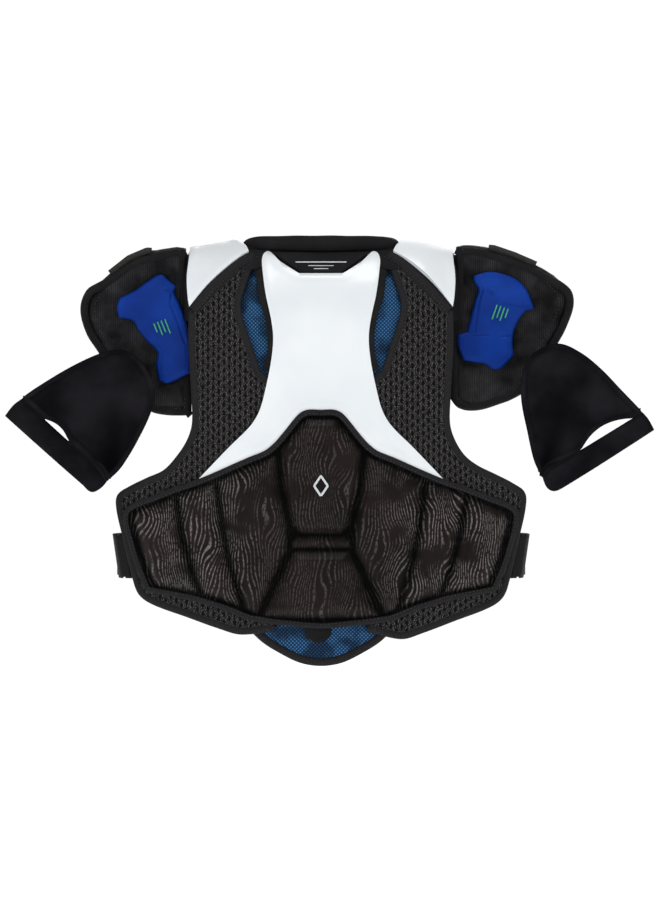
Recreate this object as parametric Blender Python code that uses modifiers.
"""Hockey shoulder pads: back half with spine plate and lower guard, lifting front, arms and side straps.

Frame: origin at the centre of the neck opening on the shoulder line, +X to the wearer's right,
+Y to the wearer's front, +Z up.  Outlines are written in millimetres and built in metres.
"""
import math

import bmesh
import bpy
from mathutils import Matrix, Vector
from mathutils.geometry import interpolate_bezier

# ---- driving dimensions -------------------------------------------------------------------------
MM = 0.001
BACK_DEPTH = 88.0        # neck axis to the inside of the back, on the centre line
BACK_SWEEP = 58.0        # how far the back has come forward at BACK_HALF_WIDTH
BACK_HALF_WIDTH = 220.0
FRONT_DEPTH = 88.0
FRONT_SWEEP = 50.0
FRONT_HALF_WIDTH = 190.0
SWEEP_POWER = 2.2
SHOULDER_BASE = -70.0    # height where the back and front start to arch over the shoulders
SHOULDER_TOP = 16.0      # inside height of that arch, beside the neck
SHOULDER_FALL = 0.17     # fall of the arch towards the arm, per mm
NECK_HALF_WIDTH = 88.0

LINER = (0.0, 2.6)       # layers: (inner offset, outer offset) from the inside surface
PAD = (4.2, 9.2)
PLATE = (10.5, 13.0)
GUARD_BASE = (10.5, 13.2)
GUARD_FOAM = (14.2, 21.5)
LABEL = (10.5, 12.2)

GRID = 24.0              # facet size of the curved sheets
ARM_GRID = 16.0          # facet size of the arm pads, which curve more
ARCH_STEP = 15.0         # facet size over the shoulders, in degrees
YOKE_END = 127.0         # where the fixed yoke stops, in degrees over the shoulder
FRONT_START = 131.0      # where the lifting front begins
LIFT_AXIS = (61.0, 8.0)  # y and z of the front's hinge line
BELLY_AXIS = (90.0, -253.0)
ARM_PIVOT = (149.5, 14.0)           # x and z of each arm's hinge, which runs along y
WRAP_PIVOT = {1: (243.0, -122.0), -1: (215.0, -124.0)}
STRAP_PIVOT = (224.0, -28.0)        # x and y of each side strap's hinge, which runs along z
STRAP_HEIGHTS = (-300.0, -349.0)
ARM_RIM, ARM_BOWL = -50.0, 30.0     # y of the arm pads' rim, and how deep they dish
WRAP_RIM, WRAP_CROWN = -62.0, 16.0  # y of the wraps' rim, and how far they crown
ARM_DOME = {"centre": (208, -68), "long_half": 128, "short_half": 98, "fall_degrees": 48}
WRAP_DOME = {"centre": (282, -165), "long_half": 115, "short_half": 92, "fall_degrees": 38}
CUT_MERGE = 0.8          # grid cuts closer than this to a corner pass through it
SIDES = {1: "right", -1: "left"}

# ---- clean start --------------------------------------------------------------------------------
for old in list(bpy.data.objects):
    bpy.data.objects.remove(old, do_unlink=True)
parts = bpy.data.collections.new("hockey_shoulder_pads")
bpy.context.scene.collection.children.link(parts)


def material(name, colour, roughness, metallic=0.0):
    mat = bpy.data.materials.new(name)
    mat.use_nodes = True
    shader = mat.node_tree.nodes["Principled BSDF"]
    shader.inputs["Base Color"].default_value = (*colour, 1.0)
    shader.inputs["Roughness"].default_value = roughness
    shader.inputs["Metallic"].default_value = metallic
    mat.diffuse_color = (*colour, 1.0)
    return mat


WHITE = material("white_plastic", (0.80, 0.83, 0.85), 0.35)
BLUE_MESH = material("blue_mesh", (0.02, 0.10, 0.28), 0.8)
BLUE_FOAM = material("blue_foam", (0.01, 0.03, 0.30), 0.6)
BLACK_MESH = material("black_mesh", (0.02, 0.02, 0.02), 0.85)
BLACK_FABRIC = material("black_fabric", (0.012, 0.012, 0.014), 0.9)
GUARD_FABRIC = material("guard_fabric", (0.03, 0.022, 0.02), 0.55)
SHELL = material("dark_shell", (0.05, 0.05, 0.055), 0.4)
ELASTIC = material("elastic", (0.015, 0.015, 0.015), 0.85)


# ---- surfaces of the body -----------------------------------------------------------------------
def depth_at(x, depth, sweep, half_width, offset):
    """Distance of a torso surface from the plane y = 0, at x and an offset outwards."""
    ratio = abs(x) / half_width
    slope = sweep * SWEEP_POWER * ratio ** (SWEEP_POWER - 1) / half_width
    return depth - sweep * ratio ** SWEEP_POWER + offset * math.hypot(1.0, slope)


def arch_height(x, offset):
    return SHOULDER_TOP - SHOULDER_FALL * max(0.0, abs(x) - NECK_HALF_WIDTH) + offset


def closing(x, z, offset):
    """1 below the shoulders, falling to 0 at the top of the arch."""
    if z <= SHOULDER_BASE:
        return 1.0
    rise = (z - SHOULDER_BASE) / (arch_height(x, offset) - SHOULDER_BASE)
    return math.sqrt(max(0.0, 1.0 - rise * rise))


def back(x, z, offset):
    depth = depth_at(x, BACK_DEPTH, BACK_SWEEP, BACK_HALF_WIDTH, offset)
    return Vector((x, -depth * closing(x, z, offset), z))


def front(x, z, offset):
    depth = depth_at(x, FRONT_DEPTH, FRONT_SWEEP, FRONT_HALF_WIDTH, offset)
    return Vector((x, depth * closing(x, z, offset), z))


def shoulder(x, degrees, offset):
    """Over the shoulder: 0 degrees at the back, 90 on top, 180 at the front."""
    turn = math.radians(degrees)
    if degrees < 90.0:
        depth = depth_at(x, BACK_DEPTH, BACK_SWEEP, BACK_HALF_WIDTH, offset)
    else:
        depth = depth_at(x, FRONT_DEPTH, FRONT_SWEEP, FRONT_HALF_WIDTH, offset)
    height = SHOULDER_BASE + (arch_height(x, offset) - SHOULDER_BASE) * math.sin(turn)
    return Vector((x, -depth * math.cos(turn), height))


def bump(x, z, centre, long_half, short_half, fall_degrees):
    """A smooth dome, 1 at its centre and 0 at its rim, along an axis that falls outwards."""
    turn = math.radians(fall_degrees)
    dx, dz = abs(x) - centre[0], z - centre[1]
    along = dx * math.cos(turn) - dz * math.sin(turn)
    across = dx * math.sin(turn) + dz * math.cos(turn)
    return max(0.0, 1.0 - (along / long_half) ** 2) * max(0.0, 1.0 - (across / short_half) ** 2)


def lean(height, x, z):
    """How much further apart two layers of a height surface are along y than square to it."""
    slope_x = (height(x + 1, z) - height(x - 1, z)) / 2
    slope_z = (height(x, z + 1) - height(x, z - 1)) / 2
    return math.sqrt(1.0 + slope_x ** 2 + slope_z ** 2)


def arm_bowl(x, z):
    return ARM_RIM + ARM_BOWL * bump(x, z, **ARM_DOME)


def wrap_crown(x, z):
    return WRAP_RIM - WRAP_CROWN * bump(x, z, **WRAP_DOME)


def arm(x, z, offset):
    """The bowl of the arm pads, open to the back; offset is towards the front."""
    return Vector((x, arm_bowl(x, z) + offset * lean(arm_bowl, x, z), z))


def wrap(x, z, offset):
    """The biceps wraps, crowned towards the back; offset is towards the back."""
    return Vector((x, wrap_crown(x, z) - offset * lean(wrap_crown, x, z), z))


# ---- outlines -----------------------------------------------------------------------------------
CORNER = "corner"


def smooth(points, steps=2):
    """A closed outline through the points, round except at the ones marked as corners."""
    spots = [Vector(p[:2]) for p in points]
    corners = [len(p) > 2 for p in points]
    count = len(spots)
    line = []
    for i in range(count):
        j = (i + 1) % count
        span = (spots[j] - spots[i]).length / 3
        handles = []
        for k, sign in ((i, 1), (j, -1)):
            if corners[k]:
                handles.append(spots[k])
            else:
                course = (spots[(k + 1) % count] - spots[k - 1]).normalized()
                handles.append(spots[k] + course * span * sign)
        if corners[i] and corners[j]:
            line.append(spots[i])
        else:
            line.extend(interpolate_bezier(spots[i], handles[0], handles[1], spots[j], steps + 1)[:-1])
    return [Vector(p[:2]) for p in line]


def both_halves(half):
    """A whole outline from its +X half, which starts and ends on the centre line."""
    mirrored = [(-p[0], *p[1:]) for p in reversed(half) if p[0] > 0]
    return list(half) + mirrored


def on_side(points, side):
    return [(side * p[0], *p[1:]) for p in points]


def sheet_mesh(name, outline, surface, step_x, step_y):
    """A filled outline, cut into facets on a fixed grid and carried onto a surface."""
    bm = bmesh.new()
    bm.faces.new([bm.verts.new((p.x, p.y, 0.0)) for p in outline])
    for axis, step in ((0, step_x), (1, step_y)):
        low = min(v.co[axis] for v in bm.verts)
        high = max(v.co[axis] for v in bm.verts)
        normal = Vector((0.0, 0.0, 0.0))
        normal[axis] = 1.0
        for k in range(math.ceil(low / step), math.floor(high / step) + 1):
            geometry = bm.verts[:] + bm.edges[:] + bm.faces[:]
            bmesh.ops.bisect_plane(bm, geom=geometry, dist=CUT_MERGE, plane_co=normal * k * step,
                                   plane_no=normal)
    bmesh.ops.triangulate(bm, faces=bm.faces[:], quad_method="FIXED", ngon_method="EAR_CLIP")
    for vert in bm.verts:
        vert.co = surface(vert.co.x, vert.co.y) * MM
    mesh = bpy.data.meshes.new(name)
    bm.to_mesh(mesh)
    bm.free()
    return mesh


def place(name, mesh, mat):
    mesh.materials.append(mat)
    obj = bpy.data.objects.new(name, mesh)
    parts.objects.link(obj)
    return obj


def pivot(name, x, y, z):
    """An empty on a joint's axis; the joint's pieces are its children."""
    empty = bpy.data.objects.new(name, None)
    empty.location = Vector((x, y, z)) * MM
    empty.empty_display_size = 0.02
    parts.objects.link(empty)
    return empty


def panel(name, points, surface, layer, mat, step_x=GRID, step_y=GRID):
    """One layer of the pads: an outline on a surface, as thick as its layer."""
    middle = sum(layer) / 2
    mesh = sheet_mesh(name, smooth(points), lambda x, y: surface(x, y, middle), step_x, step_y)
    obj = place(name, mesh, mat)
    solid = obj.modifiers.new("thickness", "SOLIDIFY")
    solid.thickness = (layer[1] - layer[0]) * MM
    solid.offset = 0.0
    return obj


def roll(name, points, radii, mat):
    """A padded roll along a route."""
    curve = bpy.data.curves.new(name, "CURVE")
    curve.dimensions = "3D"
    curve.bevel_depth = MM
    curve.bevel_resolution = 2
    curve.resolution_u = 3
    curve.use_fill_caps = True
    spline = curve.splines.new("BEZIER")
    spline.bezier_points.add(len(points) - 1)
    for knot, spot, radius in zip(spline.bezier_points, points, radii):
        knot.co = Vector(spot) * MM
        knot.radius = radius
        knot.handle_left_type = knot.handle_right_type = "AUTO"
    curve.materials.append(mat)
    obj = bpy.data.objects.new(name, curve)
    parts.objects.link(obj)
    return obj


def ribbon(name, route, heights, thickness, mat):
    """A flat strap on edge: a route in plan, between two heights."""
    knots = [Vector((*p, 0.0)) for p in route]
    line = []
    for i in range(len(knots) - 1):
        before = knots[max(i - 1, 0)]
        after = knots[min(i + 2, len(knots) - 1)]
        handle_a = knots[i] + (knots[i + 1] - before) / 6
        handle_b = knots[i + 1] - (after - knots[i]) / 6
        line.extend(interpolate_bezier(knots[i], handle_a, handle_b, knots[i + 1], 4)[:-1])
    line.append(knots[-1])
    bm = bmesh.new()
    rows = [[bm.verts.new(Vector((p.x, p.y, z)) * MM) for p in line] for z in heights]
    for i in range(len(line) - 1):
        bm.faces.new((rows[0][i], rows[0][i + 1], rows[1][i + 1], rows[1][i]))
    mesh = bpy.data.meshes.new(name)
    bm.to_mesh(mesh)
    bm.free()
    obj = place(name, mesh, mat)
    solid = obj.modifiers.new("thickness", "SOLIDIFY")
    solid.thickness = thickness * MM
    solid.offset = 0.0
    return obj


# ---- back ---------------------------------------------------------------------------------------
SPINE_PLATE_HALF = [
    (0, -12.7), (24.2, -12.7, CORNER), (45, 1), (54, 10.3), (58.5, 12.8), (63, 10), (65, 3), (64.4, -8),
    (60.5, -36), (54.5, -64), (52.3, -84), (54.3, -108), (60, -137), (67, -163), (77, -180), (101, -204),
    (134.5, -238.8, CORNER), (111, -229), (79, -214.8), (61, -207.2), (51, -199), (40, -187.2),
    (22.5, -166.6), (15, -163.2), (0, -163.2),
]
SPINE_PAD_HALF = [
    (0, 8), (66, 8), (77.3, 8, CORNER), (73, -8.6, CORNER), (70.4, -22), (68.8, -37), (61.5, -61),
    (58.3, -82), (58.6, -100), (63.5, -116.5, CORNER), (50, -127.5, CORNER), (50, -397, CORNER), (0, -402),
]
LINER_HALF = [
    (0, 8), (70, 8, CORNER), (86, -18), (96, -42), (95, -66), (84, -104), (74, -140), (74, -396),
    (78, -406, CORNER), (65, -419), (45, -431.5), (23, -442), (0, -445.5),
]
SIDE_PANEL = [
    (80.2, 7, CORNER), (101, -12.5), (122, -32), (145, -55, CORNER), (145.4, -90), (142, -150),
    (141.5, -178), (147, -196), (158, -213), (173, -226), (192, -235), (212, -245), (225.5, -255),
    (226.5, -270), (220, -300), (207.5, -352), (201, -368), (187, -378.5), (147, -393), (112, -405.5),
    (88, -412), (52, -405, CORNER), (52, -132.5, CORNER), (66.8, -120, CORNER), (75, -95), (84.7, -66),
    (88, -48), (84, -31), (77, -10, CORNER),
]
GUARD_HALF = [
    (0, -165.3), (15, -165.3), (23, -169.5), (40, -190.2), (50, -201.5), (61, -210), (79, -217.3),
    (111, -231.5), (135, -241.4), (160, -249.8), (187, -260.5), (206, -267.5), (215, -275), (216, -287),
    (211, -307), (203, -333), (191, -361, CORNER), (150, -368), (107, -379.5), (77, -391), (32, -397),
    (0, -399.5),
]
GUARD_CENTRE_HALF = [
    (0, -173.5), (16, -173.5, CORNER), (43.5, -207, CORNER), (41, -246), (31, -289, CORNER),
    (22, -297, CORNER), (0, -297),
]
GUARD_BAR_HALF = [(0, -301), (25, -301, CORNER), (32, -307, CORNER), (31, -314, CORNER), (0, -314)]
GUARD_LOWER_HALF = [(0, -318), (30, -318, CORNER), (63, -388.5, CORNER), (0, -391)]
GUARD_BLOCKS = {
    "guard_inner": [
        (50, -213, CORNER), (112, -241, CORNER), (106, -290), (97, -335), (82, -381, CORNER),
        (70, -386, CORNER), (54, -350), (38, -317, CORNER), (37, -292), (46, -250),
    ],
    "guard_middle": [
        (117.5, -243.5, CORNER), (157, -256, CORNER), (151, -297), (140, -338), (129, -364, CORNER),
        (88, -378, CORNER), (102, -335), (111.5, -290),
    ],
    "guard_outer": [
        (162.5, -259, CORNER), (203, -275, CORNER), (206, -286), (198, -318), (184, -355, CORNER),
        (135, -363, CORNER), (146, -336), (157, -297),
    ],
}
LABEL_HALF = [(0, 11.6), (54, 11.6, CORNER), (22.8, -11.2, CORNER), (0, -11.2)]
YOKE_PLATE = [
    (79.8, 57, CORNER), (82.5, 64), (86.5, 70), (93, 88), (98, YOKE_END, CORNER), (140, YOKE_END, CORNER),
    (145, 100), (146, 75), (146.3, 57), (148, 36), (146.5, 20), (144.8, 13.5, CORNER), (124, 30),
    (102, 44),
]
YOKE_PAD = [
    (84, 62, CORNER), (90.5, 80), (94, 95), (96, YOKE_END, CORNER), (144, YOKE_END, CORNER), (147, 100),
    (147.5, 60), (147.8, 30), (146.5, 12.8, CORNER), (123.2, 33), (102, 48),
]
COLLAR_BACK_ROUTE = [(84, 8, 16.5), (81.5, -14, 19.5), (68, -37, 21.2), (0, -51, 21.2)]
COLLAR_BACK_RADII = [3.0, 4.2, 7.0, 7.4]

panel("spine_liner", both_halves(LINER_HALF), back, LINER, BLUE_MESH)
panel("spine_pad", both_halves(SPINE_PAD_HALF), back, PAD, BLACK_FABRIC)
panel("spine_plate", both_halves(SPINE_PLATE_HALF), back, PLATE, WHITE)
panel("label_patch", both_halves(LABEL_HALF), back, LABEL, BLACK_FABRIC)
panel("guard_base", both_halves(GUARD_HALF), back, GUARD_BASE, GUARD_FABRIC)
for block_name, half in (("guard_centre", GUARD_CENTRE_HALF), ("guard_bar", GUARD_BAR_HALF),
                         ("guard_lower", GUARD_LOWER_HALF)):
    panel(block_name, both_halves(half), back, GUARD_FOAM, GUARD_FABRIC)

mirrored_route = [(-x, y, z) for x, y, z in reversed(COLLAR_BACK_ROUTE[:-1])]
roll("collar_back", COLLAR_BACK_ROUTE + mirrored_route,
     COLLAR_BACK_RADII + COLLAR_BACK_RADII[-2::-1], BLACK_FABRIC)

for side, word in SIDES.items():
    panel(f"side_panel_{word}", on_side(SIDE_PANEL, side), back, PAD, BLACK_MESH)
    for block_name, block in GUARD_BLOCKS.items():
        panel(f"{block_name}_{word}", on_side(block, side), back, GUARD_FOAM, GUARD_FABRIC)
    panel(f"yoke_pad_{word}", on_side(YOKE_PAD, side), shoulder, PAD, BLACK_FABRIC, GRID, ARCH_STEP)
    panel(f"yoke_plate_{word}", on_side(YOKE_PLATE, side), shoulder, PLATE, WHITE, GRID, ARCH_STEP)
    anchor_route = [(side * 192, -38), (side * 208, -33), (side * 222, -28.5)]
    ribbon(f"strap_anchor_{word}", anchor_route, STRAP_HEIGHTS, 2.0, ELASTIC)


# ---- front --------------------------------------------------------------------------------------
def front_top(x):
    """Height of the front's upper edge, just past the yoke."""
    return shoulder(x, FRONT_START, sum(PAD) / 2).z


CHEST_PANEL = [
    (80, front_top(80), CORNER), (113, front_top(113)), (145, front_top(145), CORNER), (139, -60),
    (135, -110), (134, -150), (137, -186), (148, -212), (160, -230), (163, -243), (150, -249),
    (95, -247), (3, -246, CORNER), (3, -67, CORNER), (32, -58), (60, -37), (75, -15),
]
CHEST_PLATE = [
    (94, -14), (132, -18), (129, -60), (124, -105), (122, -150), (116, -182), (84, -196), (58, -186),
    (46, -150), (46, -92), (66, -50),
]
STERNUM_HALF = [(0, -71), (24, -71), (38, -88), (40, -140), (33, -200), (14, -222), (0, -224)]
BELLY_HALF = [(0, -263), (80, -263), (91, -274), (92, -305), (80, -345), (45, -368), (0, -374)]
BELLY_PLATE_HALF = [(0, -276), (58, -276), (68, -288), (62, -330), (34, -352), (0, -356)]
NECKLINE = [(71, -2), (56, -26), (29, -46), (0, -53)]
LANDING_SPOT, LANDING_SIZE, LANDING_THICKNESS = (136, -222), 32, 1.6
LANDING_GAP, LANDING_BEVEL = 1.3, 0.4
COLLAR_FRONT_RADII = [4.0, 5.2, 5.6, 5.6, 5.6, 5.2, 4.0]

lift = pivot("front_lift", 0, *LIFT_AXIS)
belly_flap = pivot("belly_flap", 0, *BELLY_AXIS)
belly_flap.parent = lift
belly_flap.location = (Vector((0, *BELLY_AXIS)) - Vector((0, *LIFT_AXIS))) * MM


def rides(obj, empty, world):
    """Parent a piece that was made in place to a joint's empty, keeping it where it is."""
    obj.parent = empty
    obj.location = -Vector(world) * MM


for obj in (panel("sternum_plate", both_halves(STERNUM_HALF), front, PLATE, SHELL),
            roll("collar_front",
                 [front(x, z, sum(PAD) / 2) for x, z in NECKLINE]
                 + [front(-x, z, sum(PAD) / 2) for x, z in NECKLINE[-2::-1]],
                 COLLAR_FRONT_RADII, BLACK_FABRIC)):
    rides(obj, lift, (0, *LIFT_AXIS))


def landing_patch(name, side):
    """A flat hook-and-loop patch, where a side strap closes."""
    x, z = side * LANDING_SPOT[0], LANDING_SPOT[1]
    spot = front(x, z, PAD[1])
    across = (front(x + 4, z, PAD[1]) - front(x - 4, z, PAD[1])).normalized()
    normal = Vector((0, 0, 1)).cross(across).normalized()
    bpy.ops.mesh.primitive_cube_add(size=1.0)
    obj = bpy.context.object
    obj.name = obj.data.name = name
    for old_home in list(obj.users_collection):
        old_home.objects.unlink(obj)
    parts.objects.link(obj)
    size = Vector((LANDING_SIZE, LANDING_THICKNESS, LANDING_SIZE)) * MM
    obj.data.transform(Matrix.Diagonal((*size, 1.0)))
    obj.data.materials.append(ELASTIC)
    obj.rotation_euler = (0.0, 0.0, math.atan2(across.y, across.x))
    centre = spot + normal * (LANDING_THICKNESS / 2 + LANDING_GAP)
    obj.parent = lift
    obj.location = (centre - Vector((0, *LIFT_AXIS))) * MM
    corners = obj.modifiers.new("corners", "BEVEL")
    corners.width = LANDING_BEVEL * MM
    corners.segments = 1
    corners.limit_method = "ANGLE"
    return obj


for side, word in SIDES.items():
    for obj in (panel(f"chest_panel_{word}", on_side(CHEST_PANEL, side), front, PAD, BLACK_MESH),
                panel(f"chest_plate_{word}", on_side(CHEST_PLATE, side), front, PLATE, WHITE)):
        rides(obj, lift, (0, *LIFT_AXIS))
    landing_patch(f"landing_patch_{word}", side)
for obj in (panel("belly_pad", both_halves(BELLY_HALF), front, PAD, BLACK_MESH),
            panel("belly_plate", both_halves(BELLY_PLATE_HALF), front, PLATE, WHITE)):
    rides(obj, belly_flap, (0, *BELLY_AXIS))

# ---- arms ---------------------------------------------------------------------------------------
ARM_PAD_LAYER, INSERT_LAYER, CAP_LAYER = (-4.5, 4.5), (-15.0, -6.0), (6.2, 9.2)
WRAP_LAYER, BICEPS_LAYER = (-2.2, 2.2), (-7.0, -3.8)
ARM_PAD = {
    1: [(149.8, 16, CORNER), (158, 17), (172, 16.5), (190, 12), (213, 5), (243, -8), (263, -25),
        (271, -42), (264, -67), (253, -88), (236, -122), (218, -146), (196, -156), (172, -162.5),
        (152, -160), (143.5, -150, CORNER), (143.5, -62, CORNER), (149.8, -54, CORNER)],
    -1: [(149.8, 14, CORNER), (160, 15), (182, 11), (206, 4), (230, -12), (252, -34), (258, -50),
         (254, -70), (243, -92), (226, -125), (204, -152), (188, -164), (166, -168), (143.5, -168, CORNER),
         (143.5, -62, CORNER), (149.8, -54, CORNER)],
}
CAP_SHELL = {
    1: [(149.8, 18, CORNER), (158, 20.2), (170, 20), (192, 16.5), (214, 9), (246, -5.5), (268, -23),
        (277.5, -43), (270, -67), (259, -88), (232, -101), (190, -100), (160, -84, CORNER),
        (149.8, -52, CORNER)],
    -1: [(149.8, 16.5, CORNER), (160, 18.3), (182, 15), (193, 14), (213, 5.5), (235, -11.5), (260, -36.5),
         (264.6, -51), (257.5, -77), (246, -98), (222, -108), (186, -104), (160, -84, CORNER),
         (149.8, -52, CORNER)],
}
ARM_PLATE = {
    1: [(168, -108), (228, -107), (230, -124), (214, -142), (186, -150), (162, -148), (158, -122)],
    -1: [(166, -112), (224, -114), (222, -128), (204, -145), (180, -156), (160, -154), (156, -126)],
}
ARM_INSERT = {
    1: [(172, -11.5), (184, -10), (208, -14), (227, -24.5), (236, -44), (234, -52), (224.5, -55),
        (214, -73), (210.5, -85), (213.5, -98), (205, -113), (190, -117), (178, -111.5), (157, -108),
        (151.5, -92), (151, -78), (163, -74), (164, -61), (171, -40), (171.5, -24)],
    -1: [(222, -34), (205, -26), (190, -16.5), (179, -12.1), (168, -18.5), (161, -25), (163.5, -38),
         (154, -58), (147.5, -80), (146, -108), (149, -125), (161, -133), (174, -134), (181, -129),
         (182.5, -105), (190, -89), (203, -70), (211, -62.5), (223, -60.5), (226.5, -50)],
}
WRAP = {
    1: [(261, -90.2), (285, -100), (308, -118.5), (330, -141.5), (352.5, -164.6, CORNER),
        (342.6, -171.6, CORNER), (333, -170.5), (319, -173.2), (305.5, -179.5), (293.5, -190.3),
        (285.6, -205.8, CORNER), (250.2, -226, CORNER), (243.3, -235.6, CORNER), (234.5, -217),
        (227, -185), (221, -155), (220.4, -131), (226, -110), (238, -98)],
    -1: [(243, -101), (276, -116.6), (313, -139), (328, -149.6, CORNER), (302.4, -172.6, CORNER),
         (288.3, -176.8), (277.4, -195.2, CORNER), (243.6, -226.6, CORNER), (235.4, -240.4, CORNER),
         (220, -225), (199.5, -191), (186, -160), (184.5, -138), (193, -117.5), (208, -100.5),
         (224, -96.8)],
}
WRAP_BAND = {
    1: [(353.4, -165.4, CORNER), (360, -173), (366.3, -183), (362, -188.5), (264, -247.6), (255, -250.6),
        (249, -246.5), (244.3, -237.6, CORNER), (251, -228, CORNER)],
    -1: [(328.6, -150.6, CORNER), (338, -157.5), (346.3, -167), (343, -173.5), (262, -246.5), (253, -254),
         (243, -249), (236, -241.4, CORNER), (244.2, -227.6, CORNER)],
}
BICEPS_PLATE = {
    1: [(284, -122), (306, -136), (322, -156), (306, -168), (282, -186), (262, -196), (252, -182),
        (262, -150)],
    -1: [(266, -134), (290, -148), (302, -158), (286, -170), (264, -192), (246, -206), (232, -192),
         (242, -158)],
}
STRAP_ROUTE = [(225.2, -27), (229, -12), (230, 14), (226, 40), (218, 62)]
STRAP_TAB_ROUTE = [(227.6, 41.5), (223.6, 52), (219.6, 62.5)]
TAB_HEIGHTS = (-302.0, -347.0)

for side, word in SIDES.items():
    arm_axis = (side * ARM_PIVOT[0], ARM_RIM, ARM_PIVOT[1])
    wrap_axis = (side * WRAP_PIVOT[side][0], WRAP_RIM, WRAP_PIVOT[side][1])
    strap_axis = (side * STRAP_PIVOT[0], STRAP_PIVOT[1], sum(STRAP_HEIGHTS) / 2)
    arm_hinge = pivot(f"arm_{word}_hinge", *arm_axis)
    wrap_hinge = pivot(f"wrap_{word}_hinge", *wrap_axis)
    wrap_hinge.parent = arm_hinge
    wrap_hinge.location = (Vector(wrap_axis) - Vector(arm_axis)) * MM
    strap_hinge = pivot(f"strap_{word}_hinge", *strap_axis)
    for obj in (panel(f"arm_pad_{word}", on_side(ARM_PAD[side], side), arm, ARM_PAD_LAYER, BLACK_FABRIC,
                      ARM_GRID, ARM_GRID),
                panel(f"arm_insert_{word}", on_side(ARM_INSERT[side], side), arm, INSERT_LAYER, BLUE_FOAM,
                      ARM_GRID, ARM_GRID),
                panel(f"cap_shell_{word}", on_side(CAP_SHELL[side], side), arm, CAP_LAYER, SHELL,
                      ARM_GRID, ARM_GRID),
                panel(f"arm_plate_{word}", on_side(ARM_PLATE[side], side), arm, CAP_LAYER, WHITE,
                      ARM_GRID, ARM_GRID)):
        rides(obj, arm_hinge, arm_axis)
    for obj in (panel(f"wrap_{word}", on_side(WRAP[side], side), wrap, WRAP_LAYER, BLACK_FABRIC),
                panel(f"wrap_band_{word}", on_side(WRAP_BAND[side], side), wrap, WRAP_LAYER, ELASTIC),
                panel(f"biceps_plate_{word}", on_side(BICEPS_PLATE[side], side), wrap, BICEPS_LAYER, WHITE)):
        rides(obj, wrap_hinge, wrap_axis)
    for obj in (ribbon(f"side_strap_{word}", [(side * x, y) for x, y in STRAP_ROUTE], STRAP_HEIGHTS, 2.2,
                       ELASTIC),
                ribbon(f"strap_tab_{word}", [(side * (x + 1.2), y) for x, y in STRAP_TAB_ROUTE], TAB_HEIGHTS,
                       1.6, SHELL)):
        rides(obj, strap_hinge, strap_axis)
